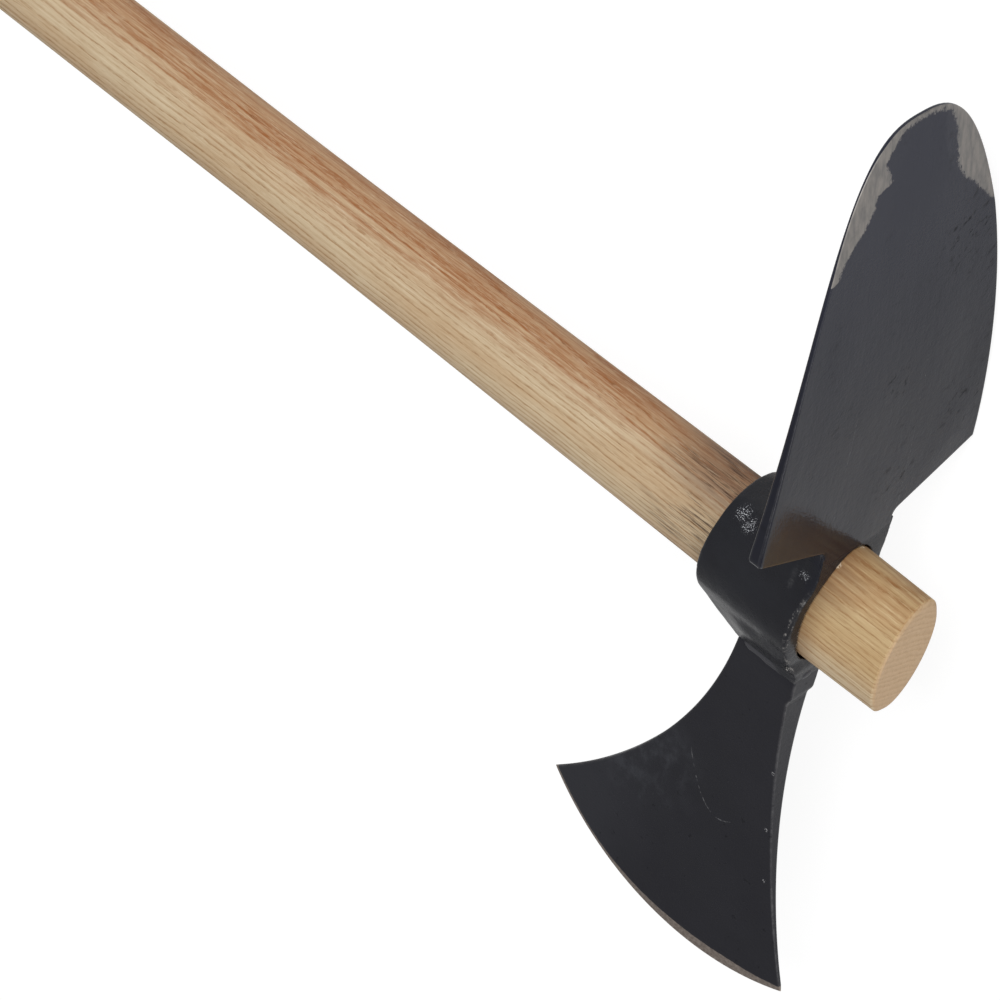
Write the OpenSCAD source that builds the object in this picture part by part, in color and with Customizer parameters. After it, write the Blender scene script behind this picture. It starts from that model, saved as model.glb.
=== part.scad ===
// Planting mattock: a forged hoe and axe head on a straight ash handle.
// X runs along the handle from its butt end to the head, Y points to the hoe's tip, Z is up
// with the tool lying on its side. The head slips over the butt end of the handle, slides up
// it and jams on the swell of the wood inside its oval eye. Lengths are in millimetres.

/* [Handle] */
// Length of the handle, butt end to sawn end
handle_length = 950; // [700:10:1200]
// Diameter of the round grip
grip_diameter = 33.8; // [30:0.1:36]
// Wood beyond the front of the eye
stub_length = 34; // [15:1:60]
// Distance behind the front of the eye where the grip starts to swell
swell_length = 281; // [150:1:400]
// Width of the wood, across the tool, where it enters the eye
entry_width = 41.8; // [38:0.1:44]
// Width of the wood at the front of the eye
head_width = 52.6; // [47:0.1:55]
// Width of the wood at its sawn end
sawn_width = 51.2; // [46:0.1:53]
// Angle by which the sawn end is out of square
sawn_skew = 4; // [0:0.5:8]
// Chamfer around the sawn end
sawn_chamfer = 0.8; // [0.3:0.1:2]
// Rounding of the butt end
butt_round = 5; // [2:0.5:9]

/* [Eye] */
// Length of the eye along the handle
eye_length = 43.4; // [36:0.2:60]
// Width of the eye's rear rim, across the tool
rim_width = 50.6; // [48:0.2:60]
// Thickness of the eye's rear rim, cheek to cheek
rim_thickness = 47.6; // [44:0.2:56]
// Straight land behind the rear rim
rim_land = 2; // [1:0.5:6]
// Diameter of the round cheeks at the front of the eye
cheek_diameter = 47.4; // [44:0.2:54]
// Distance of the cheeks' centre below the handle's axis
cheek_drop = 3; // [0:0.5:8]
// Chamfer around the front of the cheeks
cheek_chamfer = 1.2; // [0.5:0.1:3]
// Height of the eye's front above the axis, where the hoe is welded on
eye_top = 32; // [30:0.2:36]
// Lead of the hoe's face over the front of the cheeks
face_lead = 1.6; // [0:0.1:4]
// Clearance between the wood and the eye
fit_gap = 0.3; // [0.15:0.05:0.6]

/* [Neck] */
// Depth below the axis of the seam between eye and axe
seam_drop = 36; // [32:0.5:46]
// Width of the neck along the handle
neck_width = 26.2; // [20:0.2:34]
// Distance of the neck behind the eye's front
neck_setback = 1.5; // [0:0.5:8]
// Thickness of the eye's foot at the seam
foot_thickness = 14.4; // [12:0.2:20]
// Thickness of the axe's root at the seam
root_thickness = 13.6; // [10:0.2:18]

/* [Hoe] */
// Reach of the hoe's tip from the handle's axis
hoe_reach = 203; // [150:1:260]
// Width across the shoulders
shoulder_width = 117.6; // [90:0.2:150]
// Height of the shoulders above the axis
shoulder_height = 48.4; // [42:0.2:60]
// Width of the hoe's neck
hoe_neck_width = 39.6; // [36:0.2:50]
// Height of the corner between neck and shoulder
corner_height = 34.2; // [34:0.2:40]
// Radius in the corner between neck and shoulder
corner_round = 2.8; // [1:0.1:3]
// Radius of the bent front face
hoe_bend = 720; // [500:10:1500]
// Thickness at the weld
hoe_root = 7; // [5:0.1:10]
// Thickness at the tip
hoe_tip = 1.9; // [1:0.1:3]
// How soon the blade thins beyond the weld; 1 is a straight taper
hoe_thinning = 3.3; // [1:0.1:4]
// How long the sides stay parallel before they draw in
tongue_draw = 1.58; // [1.2:0.02:2.2]
// How blunt the tip is
tongue_blunt = 2.82; // [2:0.02:3.2]
// Width of the flat ground beside the tip, on the lower side
lower_grind = 13; // [4:0.5:18]
// Width of the flat ground beside the tip, on the upper side
upper_grind = 7; // [4:0.5:18]
// Angle of the ground flats to the face
grind_angle = 4; // [2:0.5:8]

/* [Axe] */
// Edge corner on the sawn end's side: distance in front of the eye
front_corner_out = 31.7; // [15:0.5:45]
// Edge corner on the sawn end's side: depth below the axis
front_corner_drop = 176.7; // [160:0.5:195]
// Edge corner on the grip side: distance behind the eye's front
rear_corner_out = 88; // [70:0.5:105]
// Edge corner on the grip side: depth below the axis
rear_corner_drop = 158.1; // [145:0.5:175]
// Radius of the cutting edge
edge_radius = 105.8; // [90:0.2:200]
// Radius of the hollow side towards the sawn end
front_hollow = 337; // [220:1:600]
// Radius of the hollow side towards the grip
rear_hollow = 187; // [150:1:400]
// How hollow the axe is between root and bit; 1 is a flat wedge
axe_hollow = 1.7; // [1:0.05:2.2]
// Thickness of the bit behind its ground bevel
bit_thickness = 1.8; // [1.2:0.1:3]
// Width of the ground bevel
bevel_width = 3.2; // [2:0.1:6]
// Thickness left at the cutting edge
edge_land = 0.4; // [0.2:0.1:0.8]

/* [Welds] */
// Radius of the seam ridge around the neck
seam_radius = 2.2; // [1.6:0.1:3]
// How far the seam's middle is sunk below the neck's faces
seam_sink = 0.6; // [0.2:0.1:1]
// Leg of the fillet weld behind the hoe
fillet_leg = 6; // [4:0.5:8]
// Length of the fillet weld, across the eye
fillet_length = 36; // [24:0.5:38]

/* [Hidden] */
$fn = 96;
oval_sides = 72;
arc_sides = 720;
tongue_steps = 28;
axe_steps = 12;
bend_steps = 20;
cut_over = 1;
waste = 10;
// Stock that the blades are cut from, larger than either of them
blank_size = 2 * hoe_reach;

ash = "burlywood";
lacquer = "#26272b";
weld_metal = "#303136";

grip_radius = grip_diameter / 2;
eye_front = handle_length - stub_length;
eye_rear = eye_front - eye_length;
swell_start = eye_front - swell_length;
// The swell starts a hair inside the round grip
swell_radius = grip_radius - 0.05;

neck_front = -neck_setback;
neck_rear = neck_front - neck_width;
seam_y = -seam_drop;

front_corner = [front_corner_out, -front_corner_drop];
rear_corner = [-rear_corner_out, -rear_corner_drop];
chord_angle = atan2(front_corner.y - rear_corner.y, front_corner.x - rear_corner.x);
// Distance of a point of the axe below the handle's axis, square to the edge's chord
function bit_depth(p) = p.x * sin(chord_angle) - p.y * cos(chord_angle);
chord_depth = bit_depth(front_corner);
// The root keeps its full thickness for a short land below the seam
root_land = 1.5;
root_depth = max(bit_depth([neck_rear, seam_y]), bit_depth([neck_front, seam_y])) + root_land;

// Centre of the circle of radius r through p and q, on the left going from p to q
function arc_centre(p, q, r) =
    let (d = q - p)
    (p + q) / 2 + sqrt(r * r - d * d / 4) * [-d.y, d.x] / norm(d);

// Front face of the hoe: a circle that stands ahead of the cheeks by the lead at the weld
hoe_bend_x = face_lead - sqrt(hoe_bend * hoe_bend - eye_top * eye_top);
function hoe_face(y) = hoe_bend_x + sqrt(hoe_bend * hoe_bend - y * y);

// Thickness of the hoe at a share of the way from its weld to its tip
function hoe_thickness(share) = hoe_tip + (hoe_root - hoe_tip) * pow(1 - share, hoe_thinning);

// Half width of the tongue at a share of the way from its shoulders to its tip
function tongue_half(u) = shoulder_width / 2 * pow(1 - pow(u, tongue_draw), 1 / tongue_blunt);

// Ring of points around the oval section of the wood, in a plane leaned by its skew
function oval_ring(x, half_y, half_z, skew) = [
    for (i = [0 : oval_sides - 1])
        let (turn = 360 * i / oval_sides, z = half_z * sin(turn))
        [x + z * tan(skew), half_y * cos(turn), z]
];

// Solid through a row of rings, each given as [x, half_y, half_z, skew]
module loft(stations) {
    points = [for (s = stations) each oval_ring(s[0], s[1], s[2], s[3])];
    last = len(stations) - 1;
    sides = [
        for (k = [0 : last - 1], i = [0 : oval_sides - 1])
            let (j = (i + 1) % oval_sides, low = k * oval_sides, high = low + oval_sides)
            each [[low + i, high + i, low + j], [low + j, high + i, high + j]]
    ];
    start_cap = [for (i = [0 : oval_sides - 1]) i];
    end_cap = [for (i = [oval_sides - 1 : -1 : 0]) last * oval_sides + i];
    polyhedron(points, concat(sides, [start_cap, end_cap]), convexity = 4);
}

// Flat outline, drawn in X and Y, given its thickness in Z
module slab(thickness) {
    translate([0, 0, -thickness / 2]) linear_extrude(thickness) children();
}

module at_eye() {
    translate([eye_front, 0, 0]) children();
}

// Ash handle: round grip, swell to the oval eye, and the stub beyond it
module handle() {
    color(ash) {
        rotate([90, 0, 90]) rotate_extrude() {
            square([grip_radius - butt_round, swell_start]);
            translate([0, butt_round]) square([grip_radius, swell_start - butt_round]);
            intersection() {
                translate([grip_radius - butt_round, butt_round]) circle(butt_round);
                square([grip_radius, butt_round]);
            }
        }
        loft([
            [swell_start - cut_over, swell_radius, swell_radius, 0],
            [eye_rear, entry_width / 2, grip_radius, 0],
            [eye_front, head_width / 2, grip_radius, 0],
            [handle_length - sawn_chamfer, sawn_width / 2, grip_radius, sawn_skew],
            [handle_length, sawn_width / 2 - sawn_chamfer, grip_radius - sawn_chamfer, sawn_skew]
        ]);
    }
}

// Oval, tapered hole for the wood, run past both ends of the eye
module eye_bore() {
    widening = (head_width - entry_width) / 2 / eye_length;
    rear_half = entry_width / 2 + fit_gap;
    front_half = head_width / 2 + fit_gap;
    half_z = grip_radius + fit_gap;
    front_over = face_lead + cut_over;
    loft([
        [eye_rear - cut_over, rear_half - cut_over * widening, half_z, 0],
        [eye_front + front_over, front_half + front_over * widening, half_z, 0]
    ]);
}

// Outside of the eye: round rims, drawn up to the hoe's neck and down to the axe's root
module eye_forging() {
    cheek_radius = cheek_diameter / 2;
    at_eye() hull() {
        translate([-eye_length, 0, 0]) rotate([0, 90, 0])
            scale([rim_thickness / 2, rim_width / 2, 1]) cylinder(r = 1, h = rim_land);
        translate([-hoe_root, -cheek_drop, 0]) rotate([0, 90, 0])
            cylinder(r = cheek_radius, h = hoe_root - cheek_chamfer);
        translate([-cheek_chamfer, -cheek_drop, 0]) rotate([0, 90, 0])
            cylinder(r1 = cheek_radius, r2 = cheek_radius - cheek_chamfer, h = cheek_chamfer);
        translate([face_lead - hoe_root, eye_top - rim_land, -hoe_neck_width / 2])
            cube([hoe_root, rim_land, hoe_neck_width]);
        translate([neck_rear, seam_y, -foot_thickness / 2])
            cube([neck_width, rim_land, foot_thickness]);
    }
}

// Forged eye that carries both blades and grips the wood
module eye_socket() {
    color(lacquer) difference() {
        eye_forging();
        eye_bore();
    }
}

// Outline of the hoe seen along the handle, drawn in Z and Y
module hoe_outline() {
    neck_half = hoe_neck_width / 2;
    rise = hoe_reach - shoulder_height;
    tongue = [
        for (k = [0 : tongue_steps])
            let (u = 1 - pow(1 - k / tongue_steps, 2))
            [tongue_half(u), shoulder_height + rise * u]
    ];
    half = concat([[neck_half, eye_top], [neck_half, corner_height]], tongue);
    polygon(concat(half, [for (k = [len(half) - 2 : -1 : 0]) [-half[k].x, half[k].y]]));
    for (side = [0, 1]) mirror([side, 0]) corner_fillet([neck_half, corner_height], tongue[0]);
}

// Metal that rounds the inner corner between the upright neck and the shoulder
module corner_fillet(corner, shoulder) {
    along = (shoulder - corner) / norm(shoulder - corner);
    half_angle = (90 + atan2(along.y, along.x)) / 2;
    reach = corner_round / tan(half_angle);
    low = corner - [0, reach];
    high = corner + reach * along;
    middle = low + [corner_round, 0];
    difference() {
        polygon([low - [reach, 0], low, middle, high, high + [-reach, reach]]);
        translate(middle) circle(corner_round);
    }
}

// Section of the hoe on its middle line: a bent front face and a back drawn thin to the tip
module hoe_section() {
    shares = [for (k = [0 : bend_steps]) k / bend_steps];
    function height(share) = eye_top + (hoe_reach - eye_top) * share;
    front = [for (share = shares) [hoe_face(height(share)), height(share)]];
    back = [for (k = [bend_steps : -1 : 0]) front[k] - [hoe_thickness(shares[k]), 0]];
    polygon(concat(front, back));
}

// Waste taken off the front face beside the tip by the grinder; side is 1 above, -1 below
module ground_waste(side, width) {
    grind_height = 0.8;
    y = shoulder_height + (hoe_reach - shoulder_height) * grind_height;
    inner_z = tongue_half(grind_height) - width;
    lean = asin(y / hoe_bend);
    side_slope = 38;
    translate([hoe_face(y), y, side * inner_z])
        rotate([0, 0, lean])
        rotate([-side * side_slope, 0, 0])
        rotate([0, -side * grind_angle, 0])
        translate([0, -blank_size / 2, side > 0 ? 0 : -blank_size / 2])
        cube([blank_size / 8, blank_size, blank_size / 2]);
}

// Hoe blade: bent tongue with square shoulders, ground bright beside its tip
module hoe_blade() {
    color(lacquer) at_eye() difference() {
        intersection() {
            slab(blank_size) hoe_section();
            rotate([0, 90, 0]) slab(blank_size) hoe_outline();
        }
        ground_waste(1, upper_grind);
        ground_waste(-1, lower_grind);
    }
}

// Outline of the axe: hollow sides from the root, run on past the cutting edge
module axe_outline() {
    front_root = [neck_front, seam_y];
    rear_root = [neck_rear, seam_y];
    out = [waste, 0];
    below = [0, -edge_radius];
    difference() {
        polygon([
            front_root + out, rear_root - out, rear_corner - out, rear_corner - out + below,
            front_corner + out + below, front_corner + out
        ]);
        translate(arc_centre(front_root, front_corner, front_hollow)) circle(front_hollow, $fn = arc_sides);
        translate(arc_centre(rear_corner, rear_root, rear_hollow)) circle(rear_hollow, $fn = arc_sides);
    }
}

// Half thickness of the axe at a share of the way from its root to its edge
function cheek_half(share) =
    (bit_thickness + (root_thickness - bit_thickness) * pow(1 - share, axe_hollow)) / 2;

// Section of the axe, depth across and thickness up: full at the root, hollow cheeks, thin bit
module axe_section() {
    cheek = [
        for (k = [0 : axe_steps])
            let (share = k / axe_steps)
            [root_depth + (chord_depth - root_depth) * share, cheek_half(share)]
    ];
    end = chord_depth + edge_radius;
    upper = concat([[0, root_thickness / 2]], cheek, [[end, bit_thickness / 2]]);
    polygon(concat(upper, [for (k = [len(upper) - 1 : -1 : 0]) [upper[k].x, -upper[k].y]]));
}

// Ground bevel that follows the cutting edge: two cones back to back
module edge_bevel() {
    slope = (bit_thickness - edge_land) / 2 / bevel_width;
    peak = edge_land / 2 + edge_radius * slope;
    translate(arc_centre(rear_corner, front_corner, edge_radius)) rotate_extrude($fn = arc_sides)
        polygon([[0, -peak], [edge_radius, -edge_land / 2], [edge_radius, edge_land / 2], [0, peak]]);
}

// Axe blade, butt-welded to the neck of the eye
module axe_blade() {
    color(lacquer) at_eye() intersection() {
        slab(blank_size) axe_outline();
        rotate([90, 0, chord_angle - 90]) slab(blank_size) axe_section();
        edge_bevel();
    }
}

// Fillet weld along the back of the hoe, on top of the eye
module hoe_weld() {
    color(weld_metal) difference() {
        at_eye() translate([-hoe_root, eye_top, -fillet_length / 2]) cylinder(r = fillet_leg, h = fillet_length);
        eye_forging();
        hoe_blade();
    }
}

// Raised seam of the butt weld, all round the axe's root below the eye's foot
module axe_weld() {
    middle_x = (neck_front + neck_rear) / 2;
    half_x = neck_width / 2 - seam_sink;
    half_z = root_thickness / 2 - seam_sink;
    color(weld_metal) difference() {
        at_eye() translate([middle_x, seam_y, 0]) {
            for (x = [-half_x, half_x], z = [-half_z, half_z]) translate([x, 0, z]) sphere(seam_radius);
            for (x = [-half_x, half_x]) translate([x, 0, -half_z]) cylinder(r = seam_radius, h = 2 * half_z);
            for (z = [-half_z, half_z]) translate([-half_x, 0, z]) rotate([0, 90, 0])
                cylinder(r = seam_radius, h = 2 * half_x);
        }
        eye_forging();
        axe_blade();
    }
}

handle();
eye_socket();
hoe_blade();
axe_blade();
hoe_weld();
axe_weld();
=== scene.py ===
import math
import bmesh
import bpy
import numpy as np
from mathutils import Matrix, Vector, noise


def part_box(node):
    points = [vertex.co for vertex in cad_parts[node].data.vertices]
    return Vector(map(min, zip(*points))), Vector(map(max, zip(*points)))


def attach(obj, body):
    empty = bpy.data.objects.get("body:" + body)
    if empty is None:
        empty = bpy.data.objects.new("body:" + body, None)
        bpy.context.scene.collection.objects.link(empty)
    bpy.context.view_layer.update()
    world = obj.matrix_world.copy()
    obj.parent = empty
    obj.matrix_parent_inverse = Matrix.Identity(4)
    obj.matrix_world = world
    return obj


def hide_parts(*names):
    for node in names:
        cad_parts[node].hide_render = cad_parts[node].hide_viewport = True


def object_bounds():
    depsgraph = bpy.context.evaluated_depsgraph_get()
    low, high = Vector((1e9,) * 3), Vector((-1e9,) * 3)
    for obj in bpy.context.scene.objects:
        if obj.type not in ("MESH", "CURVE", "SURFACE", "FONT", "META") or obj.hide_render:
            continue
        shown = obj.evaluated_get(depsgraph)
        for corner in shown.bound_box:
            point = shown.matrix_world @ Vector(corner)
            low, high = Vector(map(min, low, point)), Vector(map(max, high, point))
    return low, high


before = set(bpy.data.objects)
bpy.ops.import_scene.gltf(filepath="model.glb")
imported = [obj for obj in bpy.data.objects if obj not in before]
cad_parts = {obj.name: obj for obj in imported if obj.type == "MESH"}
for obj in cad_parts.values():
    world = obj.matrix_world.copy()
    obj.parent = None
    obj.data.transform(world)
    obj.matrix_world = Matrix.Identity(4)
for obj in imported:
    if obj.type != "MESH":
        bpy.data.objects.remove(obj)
cad_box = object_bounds()


# The handle: one length of ash, turned round for the grip and oval where the head jams.
# Its butt end is rounded over, and the end beyond the head is sawn a little out of square.
# The wood is oiled, and some of the head's lacquer has run into the grain beside the eye.
class Value:
    """A socket of a node tree, used in plain arithmetic: each sign adds one Math node."""

    def __init__(self, tree, socket=None):
        self.tree = tree
        self.socket = socket

    def node(self, kind, settings=None, sockets=None, out=0):
        """A new node of a kind: its settings are set first, then the values or links of its sockets."""
        made = self.tree.nodes.new(kind)
        for name, setting in (settings or {}).items():
            setattr(made, name, setting)
        for name, given in (sockets or {}).items():
            if isinstance(given, Value):
                self.tree.links.new(given.socket, made.inputs[name])
            else:
                made.inputs[name].default_value = given
        return Value(self.tree, made.outputs[out])

    def math(self, operation, first, second=0.0, clamp=False):
        settings = {"operation": operation, "use_clamp": clamp}
        return self.node("ShaderNodeMath", settings, {0: first, 1: second})

    def __add__(self, other):
        return self.math("ADD", self, other)

    __radd__ = __add__

    def __sub__(self, other):
        return self.math("SUBTRACT", self, other)

    def __rsub__(self, other):
        return self.math("SUBTRACT", other, self)

    def __mul__(self, other):
        return self.math("MULTIPLY", self, other)

    __rmul__ = __mul__

    def __truediv__(self, other):
        return self.math("DIVIDE", self, other)

    def __rtruediv__(self, other):
        return self.math("DIVIDE", other, self)

    def __pow__(self, other):
        return self.math("POWER", self, other)

    def most(self, other):
        return self.math("MAXIMUM", self, other)

    def least(self, other):
        return self.math("MINIMUM", self, other)

    def clamped(self):
        return self.math("ADD", self, 0.0, clamp=True)

    def step(self, low, high):
        """0 below low, 1 above high, eased between them; falls where low is the larger."""
        ends = {"Value": self, "From Min": low, "From Max": high}
        return self.node("ShaderNodeMapRange", {"interpolation_type": "SMOOTHSTEP"}, ends)

    def parts(self):
        split = self.node("ShaderNodeSeparateXYZ", None, {0: self}).socket.node
        return [Value(self.tree, socket) for socket in split.outputs]

    def vector(self, x, y, z):
        return self.node("ShaderNodeCombineXYZ", None, {0: x, 1: y, 2: z})

    def noise(self, waves, detail=2.0, rough=0.5, shift=0.0):
        """Noise from 0 to 1 over this vector, with its waves to a millimetre along each axis."""
        scaled = self.node("ShaderNodeVectorMath", {"operation": "MULTIPLY_ADD"},
                           {0: self, 1: waves, 2: (shift, shift, shift)})
        return self.node("ShaderNodeTexNoise", None,
                         {"Vector": scaled, "Scale": 1.0, "Detail": detail, "Roughness": rough})

    def mix(self, one, two):
        """Colour that goes from one to two as this value goes from 0 to 1."""
        return self.node("ShaderNodeMix", {"data_type": "RGBA"}, {0: self, 6: one, 7: two}, 2)


def colour(red, green, blue):
    """A colour written as screen values from 0 to 255, turned into the light it gives back."""
    def light(level):
        share = level / 255
        return share / 12.92 if share <= 0.04045 else ((share + 0.055) / 1.055) ** 2.4
    return (light(red), light(green), light(blue), 1.0)


def new_finish(name):
    """An empty material, its place in millimetres and its shader."""
    finish = bpy.data.materials.new(name)
    finish.use_nodes = True
    shader = finish.node_tree.nodes["Principled BSDF"]
    place = Value(finish.node_tree).node("ShaderNodeTexCoord", out="Object")
    place = place.node("ShaderNodeVectorMath", {"operation": "SCALE"}, {0: place, "Scale": 1000.0})
    return finish, place, shader


def feed(shader, **values):
    """Links values to the shader's sockets; an underscore in a name stands for a space."""
    for name, value in values.items():
        value.tree.links.new(value.socket, shader.inputs[name.replace("_", " ")])


def set_plain(shader, **values):
    for name, value in values.items():
        shader.inputs[name.replace("_", " ")].default_value = value


def spot(place, centre, radius):
    """1 at a place on a piece, in millimetres, falling to 0 at a radius from it."""
    gap = place.node("ShaderNodeVectorMath", {"operation": "DISTANCE"}, {0: place, 1: centre}, "Value")
    return gap.step(radius, radius * 0.35)


def ash_finish():
    ring_width = 2.35
    ring_lean = math.radians(-22)
    sawn_slope = math.tan(math.radians(4))
    pale = colour(205, 185, 153)
    pale_warm = colour(196, 169, 134)
    line_brown = colour(156, 118, 78)
    heart = colour(187, 148, 110)
    heart_line = colour(153, 92, 47)
    pore_brown = colour(112, 80, 50)
    highlight = colour(224, 207, 178)
    golden = colour(244, 235, 213)
    sawn_face = colour(196, 166, 130)
    sawn_line = colour(160, 126, 92)
    splinter = colour(226, 206, 178)
    stain_and_shade_brown = colour(118, 80, 50)
    grime_brown = colour(126, 98, 77)
    smear_brown = colour(66, 43, 29)
    finish, place, shader = new_finish("oiled_ash")
    x, y, z = place.parts()
    sway = place.noise((0.006, 0.02, 0.02), 2.0) - 0.5
    waver = place.noise((0.03, 0.12, 0.12), 3.0, shift=7.0) - 0.5
    jag = place.noise((0.20, 0.6, 0.6), 3.0, 0.65, shift=9.0) - 0.5
    along = y * math.cos(ring_lean) + z * math.sin(ring_lean)
    across = z * math.cos(ring_lean) - y * math.sin(ring_lean)
    years = x.vector(x * 0.05, along, 0.0).noise((0.04, 0.22, 0.0), 2.0, shift=27.0) - 0.5
    depth = along + across * across * 0.002 + years * 3.0 + sway * 7.0 + waver * 1.3 + jag * 1.3
    ring = depth / ring_width
    turn = ring.math("FRACT", ring)
    fibre = place.noise((0.035, 2.2, 2.2), 4.0, 0.65, shift=3.0)
    fine = place.noise((0.055, 1.15, 1.15), 4.0, 0.75, shift=21.0)
    dashes = place.noise((0.20, 2.4, 2.4), 3.0, 0.65, shift=15.0)
    streak = place.noise((0.012, 0.55, 0.55), 3.0, 0.6, shift=11.0)
    fades = place.noise((0.02, 0.3, 0.3), 2.0, 0.5, shift=17.0).step(0.20, 0.60)
    each_ring = x.vector((ring - turn) * 3.7, x * 0.004, 0.0)
    strong = each_ring.noise((1.0, 1.0, 1.0), 1.0, shift=5.0).step(0.30, 0.66)
    early = turn.step(0.0, 0.12) * turn.step(0.50, 0.12)
    early = early * (dashes.step(0.30, 0.62) * 0.9 + 0.25) * (strong * 0.6 + fades * 0.3 + 0.15)
    early = early.clamped()
    mottle = place.noise((0.012, 0.06, 0.06), 2.0, 0.5, shift=37.0).step(0.35, 0.65)
    stub = x.step(905.0, 918.0)
    heart_share = (z - (880.0 - x) * 0.006 + sway * 14.0 + streak * 6.0).step(17.0, 3.5)
    heart_share = (heart_share * (0.95 - stub * 0.75)).clamped()
    base = heart_share.mix(mottle.mix(pale, pale_warm), heart)
    dark = heart_share.mix(line_brown, heart_line)
    wood = (early * (heart_share * 0.10 - stub * 0.04 + 0.84)).mix(base, dark)
    narrow = place.noise((0.010, 0.80, 0.80), 3.0, 0.65, shift=57.0).step(0.45, 0.59)
    red = narrow * (fine.step(0.64, 0.40) * 0.6 + 0.4) * (0.86 - z.step(5.0, -8.0) * 0.36)
    wood = (red * heart_share ** 0.5).mix(wood, heart_line)
    wood = (fine.step(0.50, 0.28) * (stub * 0.20 + 0.42)).mix(wood, dark)
    wood = (fine.step(0.53, 0.72) * (stub * 0.20 + 0.50)).mix(wood, highlight)
    wood = (fibre.step(0.62, 0.35) * 0.20).mix(wood, dark)
    wood = (dashes.step(0.52, 0.30) * 0.30).mix(wood, pale)
    pore = place.noise((0.24, 3.0, 3.0), 2.0, 0.5, shift=19.0).step(0.60, 0.69)
    pore = pore * (early * 0.7 + heart_share * 0.25 + 0.12)
    wood = (pore * 0.55).clamped().mix(wood, pore_brown)
    oiled = wood.node("ShaderNodeMix", {"data_type": "RGBA", "blend_type": "MULTIPLY"},
                      {0: 1.0, 6: wood, 7: golden}, 2)
    wood = (stub * (y.step(-14.0, 2.0) * 0.8 + 0.1)).mix(wood, oiled)
    # Painted shade with some stain: the top of the stub under the hoe is painted darker brown where the
    # hoe shades it.
    stain_and_shade = stub * spot(place, (919.0, 19.0, 11.0), 17.0) * (streak.step(0.30, 0.60) * 0.3 + 0.10)
    wood = stain_and_shade.mix(wood, stain_and_shade_brown)
    # Painted shade with some stain: the wood is painted darker for a few millimetres on each side of the
    # eye's front rim, where it meets the steel.
    corner = x.step(905.0, 914.0) * x.step(927.0, 915.0) * (streak.step(0.25, 0.60) * 0.25 + 0.28)
    wood = corner.mix(wood, stain_and_shade_brown)
    cross = place.noise((0.10, 0.03, 0.03), 1.0, shift=51.0).step(0.45, 0.70)
    wood = (stub * cross * 0.12).mix(wood, heart_line)
    beside_eye = x.step(826.0, 862.0) * x.step(905.0, 890.0)
    upper = (y - z * 0.5).step(2.0, 13.0)
    lower = z.step(15.2, 16.6) * y.step(5.0, 0.0)
    grime = beside_eye * (upper * (streak.step(0.30, 0.60) * 0.35 + 0.33) + 0.15)
    wood = grime.clamped().mix(wood, grime_brown)
    drip = place.noise((0.035, 0.12, 0.12), 2.0, 0.5, shift=29.0) + upper * 0.13 + lower * 0.13
    smear = beside_eye * (drip + beside_eye * 0.06).step(0.54, 0.70)
    smear = smear * place.noise((0.07, 1.8, 1.8), 3.0, 0.7, shift=33.0).step(0.46, 0.64)
    wood = (smear * 0.86).clamped().mix(wood, smear_brown)
    wood = (grime * fine.step(0.56, 0.72) * 0.7).clamped().mix(wood, pale)
    torn = spot(place, (917.6, 25.2, -4.5), 2.2).most(spot(place, (917.4, 23.2, 8.0), 1.8))
    torn = torn * place.noise((0.8, 0.8, 0.8), 2.0, 0.6, shift=53.0).step(0.48, 0.56)
    wood = torn.mix(wood, splinter)
    sawn = (x - z * sawn_slope).step(949.2, 949.6)
    arcs = turn.step(0.0, 0.25) * turn.step(0.85, 0.30) * fades
    end_grain = (arcs * 0.24 + fine.step(0.60, 0.34) * 0.30).clamped()
    wood = sawn.mix(wood, end_grain.mix(sawn_face, sawn_line))
    feed(shader, Base_Color=wood)
    feed(shader, Roughness=0.50 + early * 0.14 + fibre * 0.10)
    set_plain(shader, IOR=1.45, Specular_IOR_Level=0.35)
    relief = fibre * 0.35 - early * 0.5 - pore * 0.6
    bump = relief.node("ShaderNodeBump", None, {"Strength": 0.22, "Distance": 0.0004, "Height": relief})
    feed(shader, Normal=bump)
    return finish


def plain_mesh(shape, crease=None):
    """Turns a piece and its modifiers into one closed mesh that is shaded smooth."""
    seen = shape.evaluated_get(bpy.context.evaluated_depsgraph_get())
    mesh = bpy.data.meshes.new_from_object(seen)
    shape.modifiers.clear()
    shape.data = mesh
    body = bmesh.new()
    body.from_mesh(mesh)
    bmesh.ops.remove_doubles(body, verts=body.verts, dist=1e-6)
    bmesh.ops.recalc_face_normals(body, faces=body.faces)
    body.to_mesh(mesh)
    body.free()
    mesh.shade_smooth()
    if crease:
        mesh.set_sharp_from_angle(angle=math.radians(crease))
    return shape


def new_piece(name, mesh, finish):
    piece = bpy.data.objects.new(name, mesh)
    bpy.context.scene.collection.objects.link(piece)
    if not mesh.materials:
        mesh.materials.append(finish)
    return piece


def new_tree(name, sizes):
    """A Geometry Nodes tree with a named input for each size, and its group input."""
    tree = bpy.data.node_groups.new(name, "GeometryNodeTree")
    tree.interface.new_socket(name="Geometry", in_out="OUTPUT", socket_type="NodeSocketGeometry")
    names = {}
    for label in sizes:
        socket = tree.interface.new_socket(name=label, in_out="INPUT", socket_type="NodeSocketFloat")
        names[label] = socket.identifier
    entry = tree.nodes.new("NodeGroupInput")
    return tree, names, {label: Value(tree, entry.outputs[label]) for label in sizes}


def end_tree(tree, geometry, finish):
    whole = geometry.node("GeometryNodeRealizeInstances", None, {0: geometry})
    whole = whole.node("GeometryNodeSetMaterial", None, {"Geometry": whole, "Material": finish})
    tree.links.new(whole.socket, tree.nodes.new("NodeGroupOutput").inputs[0])


def grown(name, mesh, tree, names, sizes, finish):
    """A piece made from a mesh by a Geometry Nodes tree at the given sizes."""
    piece = new_piece(name, mesh, finish)
    modifier = piece.modifiers.new(name, "NODES")
    modifier.node_group = tree
    for label, size in sizes.items():
        modifier[names[label]] = size
    return piece


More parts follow.
